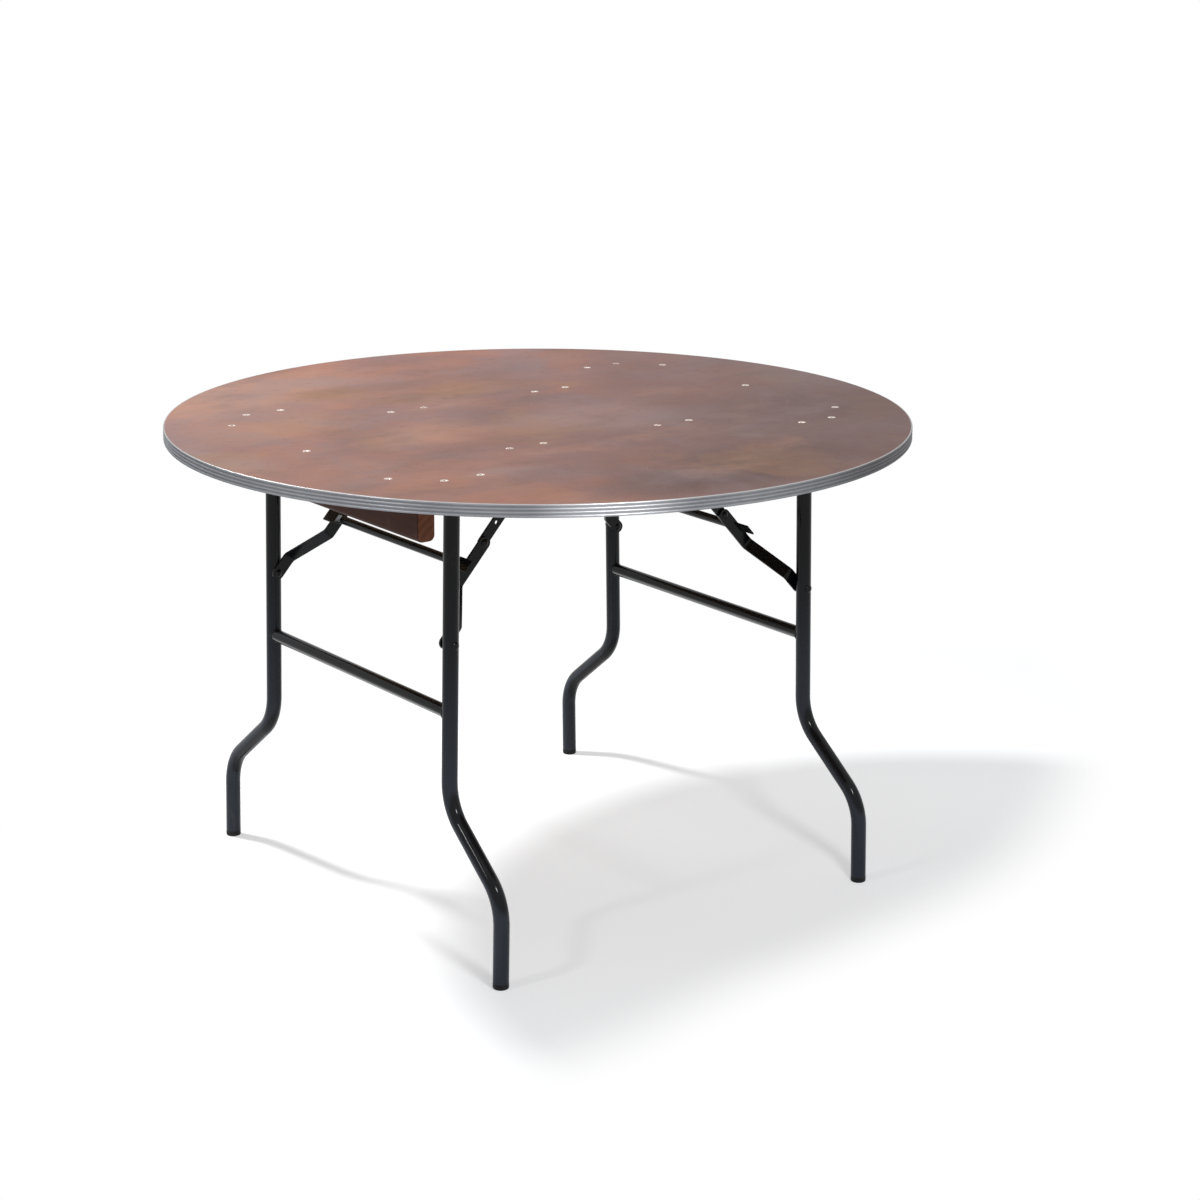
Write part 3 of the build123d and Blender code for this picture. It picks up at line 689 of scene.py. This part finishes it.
def rounded_runner(side, material):
    """A wooden runner: a rectangle with round lower corners and nearly square upper ones, carried along its
    length. At both ends the section shrinks by a quarter circle and closes on its middle."""
    low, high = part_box(side + "_runner")
    half = (high[0] - low[0]) / 2
    lower, upper, end_radius = 0.009, 0.0015, 0.003
    corners = ((1, 0, lower, -90), (1, 1, upper, 0), (-1, 1, upper, 90), (-1, 0, lower, 180))
    outline = []
    for across, up, radius, start in corners:
        angle = np.radians(start + np.linspace(0, 90, 9))
        ring = np.stack([np.cos(angle), np.sin(angle)], 1)
        centre = [across * (half - radius), high[2] - radius if up else low[2] + radius]
        outline.append(centre + radius * ring)
    outline = np.concatenate(outline)
    quarter = np.radians(np.linspace(0, 90, 7))
    draw = end_radius * (1 - np.cos(quarter))
    reach = end_radius * np.sin(quarter)
    along = np.concatenate([low[1] + end_radius - reach[::-1], [0.0], high[1] - end_radius + reach])
    inset = np.concatenate([draw[::-1], [0.0], draw])
    level, tall = (low[2] + high[2]) / 2, (high[2] - low[2]) / 2
    grid = np.empty((len(along), len(outline), 3))
    grid[..., 0] = (low[0] + high[0]) / 2 + outline[:, 0] * (1 - inset[:, None] / half)
    grid[..., 1] = along[:, None]
    grid[..., 2] = level + (outline[:, 1] - level) * (1 - inset[:, None] / tall)
    ends = [np.repeat(np.mean(grid[i], 0)[None, None], len(outline), 1) for i in (0, -1)]
    grids = [(np.concatenate([ends[0], grid, ends[1]]), False)]
    make_piece(side + "_runner_planed", grids, "root", "brown_wood", material, side + "_runner")


def eased_copy(name, body, material, width):
    """A steel node's own mesh with its doubles merged and its flat faces joined, and a Bevel on its sharp
    edges."""
    mesh = nodes[name].data.copy()
    mesh.name = name + "_eased"
    work = bmesh.new()
    work.from_mesh(mesh)
    bmesh.ops.remove_doubles(work, verts=work.verts, dist=1e-6)
    bmesh.ops.dissolve_limit(work, angle_limit=math.radians(0.5), verts=work.verts, edges=work.edges)
    work.to_mesh(mesh)
    work.free()
    if "custom_normal" in mesh.attributes:
        mesh.attributes.remove(mesh.attributes["custom_normal"])
    mesh.materials.clear()
    mesh.shade_smooth()
    piece = hold(mesh, body, "black_steel", material, name)
    ease = piece.modifiers.new("ease", "BEVEL")
    ease.width = width
    ease.segments = 2
    ease.limit_method = "ANGLE"
    ease.angle_limit = math.radians(35)
    ease.use_clamp_overlap = False
    ease.harden_normals = True


# Camera, floor and lights

def aim_camera():
    """A camera 1.69 m above the floor and 4.37 m from the middle, looking down at 11.6 degrees. Its picture
    is shifted by a sixth of its width, so that the table stands where the photograph has it."""
    distance, height = 4.365, 1.6858
    bearing, heading, pitch, roll = map(math.radians, (35.871, 37.186, 11.563, 0.229))
    data = bpy.data.cameras.new("view")
    data.sensor_fit = "HORIZONTAL"
    data.sensor_width = 36.0
    data.lens = 81.477
    data.shift_y = -0.167
    data.clip_end = 300.0
    camera = bpy.data.objects.new("view", data)
    bpy.context.scene.collection.objects.link(camera)
    tilt = Euler((math.pi / 2 - pitch, 0.0, -heading)).to_matrix()
    spot = (-distance * math.sin(bearing), -distance * math.cos(bearing), height)
    camera.matrix_world = Matrix.LocRotScale(spot, tilt @ Matrix.Rotation(roll, 3, "Z"), None)
    bpy.context.scene.camera = camera


def seen_directly(f):
    """1 for camera, glossy and transmission rays."""
    path = f.node("LightPath", {}, {})
    rays = [Value(f, path.outputs[f"Is {kind} Ray"]) for kind in ("Camera", "Glossy", "Transmission")]
    return rays[0].larger(rays[1]).larger(rays[2])


def lay_floor():
    """A wide white floor. What looks at it straight sees a lit sheet with a glow, stronger behind the table
    than in front of it, so that only the table's shadow shows. Where the shadow runs out in the
    photograph, the sheet turns plain white: at a distance from a point behind the table, larger on the
    left and the right, and at another from the shadow's middle."""
    mesh = bpy.data.meshes.new("floor")
    half = 90.0
    corners = [(-half, -half, 0), (half, -half, 0), (half, half, 0), (-half, half, 0)]
    mesh.from_pydata(corners, [], [(0, 1, 2, 3)])
    floor = bpy.data.objects.new("floor", mesh)
    bpy.context.scene.collection.objects.link(floor)
    f = finish("studio_floor")
    x, y, _ = f.parts(f.place())

    def distance(across, up):
        return ((x - across) ** 2.0 + (y - up) ** 2.0).root()

    from_behind = distance(-0.065, 1.114) - x.step(0.0, -0.5) * 0.1 - x.step(0.2, 0.6) * 0.03
    from_middle = distance(0.36, -0.42)
    plain = from_behind.step(1.61, 1.81).larger(from_middle.step(1.15, 1.50))
    nearer = ((x + y) * math.sqrt(0.5)).step(0.50, -0.35)
    glowing = f.mix(nearer, (0.518, 0.526, 0.536, 1.0), (0.393, 0.405, 0.419, 1.0))
    glow = f.node("Emission", {}, {"Color": glowing, "Strength": 1.0}, 0)
    sheet = f.node("BsdfDiffuse", {}, {"Color": (0.80, 0.81, 0.82, 1.0)}, 0)
    lit = f.node("AddShader", {}, {0: sheet, 1: glow}, 0)
    white = f.node("Emission", {}, {"Color": WHITE, "Strength": 1.0}, 0)
    drawn = f.node("MixShader", {}, {0: plain, 1: lit, 2: white}, 0)
    paint = f.node("BsdfDiffuse", {}, {"Color": (0.8, 0.8, 0.8, 1.0)}, 0)
    shown = f.node("MixShader", {}, {0: seen_directly(f), 1: paint, 2: drawn}, 0)
    f.node("OutputMaterial", {}, {"Surface": shown})
    mesh.materials.append(f.owner)


def hang_light(name, spot, target, size, power):
    """A round white area light at a spot, facing a target."""
    data = bpy.data.lights.new(name, "AREA")
    data.shape = "DISK"
    data.size = size
    data.energy = power
    lamp = bpy.data.objects.new(name, data)
    bpy.context.scene.collection.objects.link(lamp)
    lamp.location = spot
    aim = np.array(target) - np.array(spot)
    bearing = math.atan2(aim[1], aim[0])
    drop = math.atan2(-aim[2], math.hypot(aim[0], aim[1]))
    lamp.rotation_euler = (math.pi / 2 - drop, 0.0, bearing - math.pi / 2)


def light_studio():
    """A key light behind on the left, which casts the shadow, two weaker lights, and a dim white world that
    looks fully white."""
    world = bpy.data.worlds.new("studio")
    bpy.context.scene.world = world
    f = Finish(world)
    fill = f.node("Background", {}, {"Color": WHITE, "Strength": 0.20}, 0)
    white = f.node("Background", {}, {"Color": WHITE, "Strength": 1.0}, 0)
    both = f.node("MixShader", {}, {0: seen_directly(f), 1: fill, 2: white}, 0)
    f.node("OutputWorld", {}, {"Surface": both})
    hang_light("key", (-0.88, 1.614, 2.461), (0.0, 0.0, 0.76), 0.3, 64.0)
    hang_light("side", (-2.46, -0.33, 2.23), (-0.1, 0.0, 0.4), 0.26, 8.0)
    hang_light("front", (-0.47, -2.05, 2.1), (0.0, 0.0, 0.76), 0.42, 19.0)


aim_camera()
lay_floor()
light_studio()
bpy.context.scene.view_settings.view_transform = "Standard"

finishes = {
    "plywood_top": stained_plywood(),
    "aluminium_edge": reeded_aluminium(),
    "brown_wood": brown_softwood(),
    "black_steel": black_enamel(),
    "zinc_steel": dull_zinc(),
    "black_plastic": black_moulding(),
}
for part in frame["record"]["subparts"]:
    node = nodes[part["node"]]
    node.data.materials.clear()
    node.data.materials.append(finishes[part["material_slot"]])

steel = finishes["black_steel"]
zinc = finishes["zinc_steel"]
for strap, spread, strap_row in (("saddle", PIVOT_X, SADDLE_ROW), ("bracket", ANCHOR_X, BRACKET_ROW)):
    strap_places = fastener_places(spread, strap_row)
    bolts(strap + "_bolts", strap_places, zinc)
    chamfered_nuts(strap + "_nuts", strap_places, zinc)
runner_screws(zinc)
for side in SIDES:
    frame_welds(side, steel)
    brace_welds(side, steel)
    rounded_runner(side, finishes["brown_wood"])
    for row in ROWS:
        corner = side + "_" + row
        eased_copy(corner + "_upper_link", side + "_upper_brace", steel, LINK_EASE)
        eased_copy(corner + "_lower_link", side + "_lower_brace", steel, LINK_EASE)
        eased_copy(corner + "_saddle", "root", steel, STRAP_EASE)
        eased_copy(corner + "_brace_bracket", "root", steel, STRAP_EASE)

bpy.context.view_layer.update()
